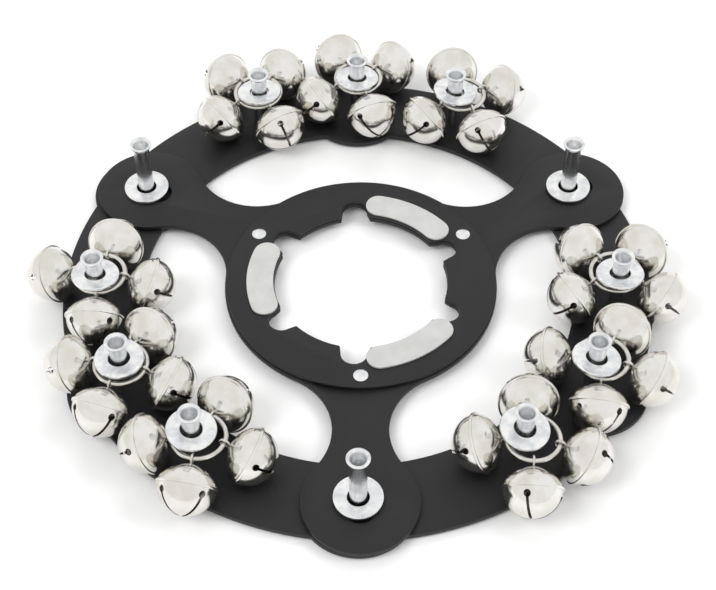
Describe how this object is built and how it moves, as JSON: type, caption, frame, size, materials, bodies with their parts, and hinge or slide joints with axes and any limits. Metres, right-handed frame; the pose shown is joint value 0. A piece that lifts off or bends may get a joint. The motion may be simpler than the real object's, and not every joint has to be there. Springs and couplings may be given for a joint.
{
  "type": "ring sleigh bells",
  "caption": "Ring-shaped sleigh bells: clusters of slit jingle bells on short posts round a black ring, with a sliding spider plate and hub.",
  "frame": {"origin": "centre of the ring plate's post circle, level with the undersides of the post heads", "axes": "+Z along the posts towards their flared ends, +X to the right in the picture"},
  "size_m": [0.257, 0.2569, 0.0318],
  "materials": {
    "ring_black": "matte",
    "spider_black": "matte",
    "hub_black": "matte",
    "washer_zinc": "satin",
    "wire_nickel": "polished",
    "bell_nickel": "polished"
  },
  "bodies": {
    "ring_frame": {"ring_plate": "ring_black"},
    "spider": {"spider_plate": "spider_black", "hub_ring": "hub_black", "lobe_washer_right": "washer_zinc", "lobe_washer_left": "washer_zinc", "lobe_washer_bottom": "washer_zinc"},
    "ring_top_left": {"wire_ring_top_left": "wire_nickel", "washer_top_left": "washer_zinc"},
    "bell_top_left_1": {"bell_top_left_1": "bell_nickel"},
    "bell_top_left_2": {"bell_top_left_2": "bell_nickel"},
    "bell_top_left_3": {"bell_top_left_3": "bell_nickel"},
    "bell_top_left_4": {"bell_top_left_4": "bell_nickel"},
    "ring_top_middle": {"wire_ring_top_middle": "wire_nickel", "washer_top_middle": "washer_zinc"},
    "bell_top_middle_1": {"bell_top_middle_1": "bell_nickel"},
    "bell_top_middle_2": {"bell_top_middle_2": "bell_nickel"},
    "bell_top_middle_3": {"bell_top_middle_3": "bell_nickel"},
    "bell_top_middle_4": {"bell_top_middle_4": "bell_nickel"},
    "ring_top_right": {"wire_ring_top_right": "wire_nickel", "washer_top_right": "washer_zinc"},
    "bell_top_right_1": {"bell_top_right_1": "bell_nickel"},
    "bell_top_right_2": {"bell_top_right_2": "bell_nickel"},
    "bell_top_right_3": {"bell_top_right_3": "bell_nickel"},
    "bell_top_right_4": {"bell_top_right_4": "bell_nickel"},
    "ring_left_upper": {"wire_ring_left_upper": "wire_nickel", "washer_left_upper": "washer_zinc"},
    "bell_left_upper_1": {"bell_left_upper_1": "bell_nickel"},
    "bell_left_upper_2": {"bell_left_upper_2": "bell_nickel"},
    "bell_left_upper_3": {"bell_left_upper_3": "bell_nickel"},
    "bell_left_upper_4": {"bell_left_upper_4": "bell_nickel"},
    "ring_left_middle": {"wire_ring_left_middle": "wire_nickel", "washer_left_middle": "washer_zinc"},
    "bell_left_middle_1": {"bell_left_middle_1": "bell_nickel"},
    "bell_left_middle_2": {"bell_left_middle_2": "bell_nickel"},
    "bell_left_middle_3": {"bell_left_middle_3": "bell_nickel"},
    "bell_left_middle_4": {"bell_left_middle_4": "bell_nickel"},
    "ring_left_lower": {"wire_ring_left_lower": "wire_nickel", "washer_left_lower": "washer_zinc"},
    "bell_left_lower_1": {"bell_left_lower_1": "bell_nickel"},
    "bell_left_lower_2": {"bell_left_lower_2": "bell_nickel"},
    "bell_left_lower_3": {"bell_left_lower_3": "bell_nickel"},
    "bell_left_lower_4": {"bell_left_lower_4": "bell_nickel"},
    "ring_right_upper": {"wire_ring_right_upper": "wire_nickel", "washer_right_upper": "washer_zinc"},
    "bell_right_upper_1": {"bell_right_upper_1": "bell_nickel"},
    "bell_right_upper_2": {"bell_right_upper_2": "bell_nickel"},
    "bell_right_upper_3": {"bell_right_upper_3": "bell_nickel"},
    "bell_right_upper_4": {"bell_right_upper_4": "bell_nickel"},
    "ring_right_middle": {"wire_ring_right_middle": "wire_nickel", "washer_right_middle": "washer_zinc"},
    "bell_right_middle_1": {"bell_right_middle_1": "bell_nickel"},
    "bell_right_middle_2": {"bell_right_middle_2": "bell_nickel"},
    "bell_right_middle_3": {"bell_right_middle_3": "bell_nickel"},
    "bell_right_middle_4": {"bell_right_middle_4": "bell_nickel"},
    "ring_right_lower": {"wire_ring_right_lower": "wire_nickel", "washer_right_lower": "washer_zinc"},
    "bell_right_lower_1": {"bell_right_lower_1": "bell_nickel"},
    "bell_right_lower_2": {"bell_right_lower_2": "bell_nickel"},
    "bell_right_lower_3": {"bell_right_lower_3": "bell_nickel"},
    "bell_right_lower_4": {"bell_right_lower_4": "bell_nickel"}
  },
  "joints": [
    {"name": "spider_slide", "type": "slide", "parent": "ring_frame", "child": "spider", "axis": [0, 0, 1], "range_m": [0, 0.022]},
    {"name": "ring_top_left_slide", "type": "slide", "parent": "ring_frame", "child": "ring_top_left", "axis": [0, 0, 1], "range_m": [0, 0.0065]},
    {"name": "bell_top_left_1_swing", "type": "hinge", "parent": "ring_top_left", "child": "bell_top_left_1", "pos_m": [-0.05002, 0.10315, 0.0179], "axis": [0.6691, 0.7431, 0], "range_deg": [0, 30]},
    {"name": "bell_top_left_2_swing", "type": "hinge", "parent": "ring_top_left", "child": "bell_top_left_2", "pos_m": [-0.03782, 0.10497, 0.0179], "axis": [0.8572, -0.515, 0], "range_deg": [0, 30]},
    {"name": "bell_top_left_3_swing", "type": "hinge", "parent": "ring_top_left", "child": "bell_top_left_3", "pos_m": [-0.05056, 0.09082, 0.0179], "axis": [-0.6018, 0.7986, 0], "range_deg": [0, 30]},
    {"name": "bell_top_left_4_swing", "type": "hinge", "parent": "ring_top_left", "child": "bell_top_left_4", "pos_m": [-0.03797, 0.08825, 0.0179], "axis": [-0.866, -0.5, 0], "range_deg": [0, 20]},
    {"name": "ring_top_middle_slide", "type": "slide", "parent": "ring_frame", "child": "ring_top_middle", "axis": [0, 0, 1], "range_m": [0, 0.0065]},
    {"name": "bell_top_middle_1_swing", "type": "hinge", "parent": "ring_top_middle", "child": "bell_top_middle_1", "pos_m": [-0.00405, 0.11427, 0.0179], "axis": [0.8829, 0.4695, 0], "range_deg": [0, 30]},
    {"name": "bell_top_middle_2_swing", "type": "hinge", "parent": "ring_top_middle", "child": "bell_top_middle_2", "pos_m": [0.00814, 0.11167, 0.0179], "axis": [0.6157, -0.788, 0], "range_deg": [0, 30]},
    {"name": "bell_top_middle_3_swing", "type": "hinge", "parent": "ring_top_middle", "child": "bell_top_middle_3", "pos_m": [-0.00798, 0.101, 0.0179], "axis": [-0.4848, 0.8746, 0], "range_deg": [0, 30]},
    {"name": "bell_top_middle_4_swing", "type": "hinge", "parent": "ring_top_middle", "child": "bell_top_middle_4", "pos_m": [0.0035, 0.09648, 0.0179], "axis": [-0.9511, -0.309, 0], "range_deg": [0, 20]},
    {"name": "ring_top_right_slide", "type": "slide", "parent": "ring_frame", "child": "ring_top_right", "axis": [0, 0, 1], "range_m": [0, 0.0065]},
    {"name": "bell_top_right_1_swing", "type": "hinge", "parent": "ring_top_right", "child": "bell_top_right_1", "pos_m": [0.04343, 0.10461, 0.0179], "axis": [0.9848, 0.1736, 0], "range_deg": [0, 30]},
    {"name": "bell_top_right_2_swing", "type": "hinge", "parent": "ring_top_right", "child": "bell_top_right_2", "pos_m": [0.05417, 0.09853, 0.0179], "axis": [0.3584, -0.9336, 0], "range_deg": [0, 30]},
    {"name": "bell_top_right_3_swing", "type": "hinge", "parent": "ring_top_right", "child": "bell_top_right_3", "pos_m": [0.03717, 0.08949, 0.0179], "axis": [-0.5736, 0.8192, 0], "range_deg": [0, 18]},
    {"name": "bell_top_right_4_swing", "type": "hinge", "parent": "ring_top_right", "child": "bell_top_right_4", "pos_m": [0.04906, 0.08619, 0.0179], "axis": [-0.9135, -0.4067, 0], "range_deg": [0, 30]},
    {"name": "ring_left_upper_slide", "type": "slide", "parent": "ring_frame", "child": "ring_left_upper", "axis": [0, 0, 1], "range_m": [0, 0.0065]},
    {"name": "bell_left_upper_1_swing", "type": "hinge", "parent": "ring_left_upper", "child": "bell_left_upper_1", "pos_m": [-0.09848, 0.00285, 0.0179], "axis": [0.9781, -0.2079, 0], "range_deg": [0, 30]},
    {"name": "bell_left_upper_2_swing", "type": "hinge", "parent": "ring_left_upper", "child": "bell_left_upper_2", "pos_m": [-0.11005, -0.00496, 0.0179], "axis": [0.1736, 0.9848, 0], "range_deg": [0, 30]},
    {"name": "bell_left_upper_3_swing", "type": "hinge", "parent": "ring_left_upper", "child": "bell_left_upper_3", "pos_m": [-0.09089, -0.00799, 0.0179], "axis": [-0.1392, -0.9903, 0], "range_deg": [0, 30]},
    {"name": "bell_left_upper_4_swing", "type": "hinge", "parent": "ring_left_upper", "child": "bell_left_upper_4", "pos_m": [-0.10083, -0.01633, 0.0179], "axis": [-0.9994, 0.0349, 0], "range_deg": [0, 20]},
    {"name": "ring_left_middle_slide", "type": "slide", "parent": "ring_frame", "child": "ring_left_middle", "axis": [0, 0, 1], "range_m": [0, 0.0065]},
    {"name": "bell_left_middle_1_swing", "type": "hinge", "parent": "ring_left_middle", "child": "bell_left_middle_1", "pos_m": [-0.09785, -0.04937, 0.0179], "axis": [0.1219, 0.9925, 0], "range_deg": [0, 30]},
    {"name": "bell_left_middle_2_swing", "type": "hinge", "parent": "ring_left_middle", "child": "bell_left_middle_2", "pos_m": [-0.08352, -0.04207, 0.0179], "axis": [0.8746, -0.4848, 0], "range_deg": [0, 30]},
    {"name": "bell_left_middle_3_swing", "type": "hinge", "parent": "ring_left_middle", "child": "bell_left_middle_3", "pos_m": [-0.09122, -0.05978, 0.0179], "axis": [-0.9511, 0.309, 0], "range_deg": [0, 30]},
    {"name": "bell_left_middle_4_swing", "type": "hinge", "parent": "ring_left_middle", "child": "bell_left_middle_4", "pos_m": [-0.07905, -0.05371, 0.0179], "axis": [-0.3256, -0.9455, 0], "range_deg": [0, 30]},
    {"name": "ring_left_lower_slide", "type": "slide", "parent": "ring_frame", "child": "ring_left_lower", "axis": [0, 0, 1], "range_m": [0, 0.0065]},
    {"name": "bell_left_lower_1_swing", "type": "hinge", "parent": "ring_left_lower", "child": "bell_left_lower_1", "pos_m": [-0.05283, -0.0748, 0.0179], "axis": [0.8988, -0.4384, 0], "range_deg": [0, 30]},
    {"name": "bell_left_lower_2_swing", "type": "hinge", "parent": "ring_left_lower", "child": "bell_left_lower_2", "pos_m": [-0.04785, -0.08651, 0.0179], "axis": [-0.309, -0.9511, 0], "range_deg": [0, 30]},
    {"name": "bell_left_lower_3_swing", "type": "hinge", "parent": "ring_left_lower", "child": "bell_left_lower_3", "pos_m": [-0.05876, -0.09307, 0.0179], "axis": [-0.9848, 0.1736, 0], "range_deg": [0, 30]},
    {"name": "bell_left_lower_4_swing", "type": "hinge", "parent": "ring_left_lower", "child": "bell_left_lower_4", "pos_m": [-0.06678, -0.08368, 0.0179], "axis": [-0.0175, 0.9998, 0], "range_deg": [0, 28]},
    {"name": "ring_right_upper_slide", "type": "slide", "parent": "ring_frame", "child": "ring_right_upper", "axis": [0, 0, 1], "range_m": [0, 0.0065]},
    {"name": "bell_right_upper_1_swing", "type": "hinge", "parent": "ring_right_upper", "child": "bell_right_upper_1", "pos_m": [0.09469, 0.001, 0.0179], "axis": [0.7771, 0.6293, 0], "range_deg": [0, 30]},
    {"name": "bell_right_upper_2_swing", "type": "hinge", "parent": "ring_right_upper", "child": "bell_right_upper_2", "pos_m": [0.10703, 0.00089, 0.0179], "axis": [0.766, -0.6428, 0], "range_deg": [0, 30]},
    {"name": "bell_right_upper_3_swing", "type": "hinge", "parent": "ring_right_upper", "child": "bell_right_upper_3", "pos_m": [0.09223, -0.01109, 0.0179], "axis": [-0.4695, 0.8829, 0], "range_deg": [0, 30]},
    {"name": "bell_right_upper_4_swing", "type": "hinge", "parent": "ring_right_upper", "child": "bell_right_upper_4", "pos_m": [0.10928, -0.01124, 0.0179], "axis": [-0.4848, -0.8746, 0], "range_deg": [0, 30]},
    {"name": "ring_right_middle_slide", "type": "slide", "parent": "ring_frame", "child": "ring_right_middle", "axis": [0, 0, 1], "range_m": [0, 0.0065]},
    {"name": "bell_right_middle_1_swing", "type": "hinge", "parent": "ring_right_middle", "child": "bell_right_middle_1", "pos_m": [0.09622, -0.04034, 0.0179], "axis": [0.8572, -0.515, 0], "range_deg": [0, 30]},
    {"name": "bell_right_middle_2_swing", "type": "hinge", "parent": "ring_right_middle", "child": "bell_right_middle_2", "pos_m": [0.08173, -0.04663, 0.0179], "axis": [0.2079, 0.9781, 0], "range_deg": [0, 30]},
    {"name": "bell_right_middle_3_swing", "type": "hinge", "parent": "ring_right_middle", "child": "bell_right_middle_3", "pos_m": [0.10034, -0.05197, 0.0179], "axis": [-0.342, -0.9397, 0], "range_deg": [0, 30]},
    {"name": "bell_right_middle_4_swing", "type": "hinge", "parent": "ring_right_middle", "child": "bell_right_middle_4", "pos_m": [0.0897, -0.05823, 0.0179], "axis": [-0.9877, 0.1564, 0], "range_deg": [0, 24]},
    {"name": "ring_right_lower_slide", "type": "slide", "parent": "ring_frame", "child": "ring_right_lower", "axis": [0, 0, 1], "range_m": [0, 0.0065]},
    {"name": "bell_right_lower_1_swing", "type": "hinge", "parent": "ring_right_lower", "child": "bell_right_lower_1", "pos_m": [0.06278, -0.07501, 0.0179], "axis": [1, 0, 0], "range_deg": [0, 30]},
    {"name": "bell_right_lower_2_swing", "type": "hinge", "parent": "ring_right_lower", "child": "bell_right_lower_2", "pos_m": [0.05309, -0.08438, 0.0179], "axis": [0.0349, 0.9994, 0], "range_deg": [0, 24]},
    {"name": "bell_right_lower_3_swing", "type": "hinge", "parent": "ring_right_lower", "child": "bell_right_lower_3", "pos_m": [0.07215, -0.08722, 0.0179], "axis": [-0.2588, -0.9659, 0], "range_deg": [0, 30]},
    {"name": "bell_right_lower_4_swing", "type": "hinge", "parent": "ring_right_lower", "child": "bell_right_lower_4", "pos_m": [0.0621, -0.09439, 0.0179], "axis": [-0.9976, 0.0698, 0], "range_deg": [0, 30]}
  ]
}
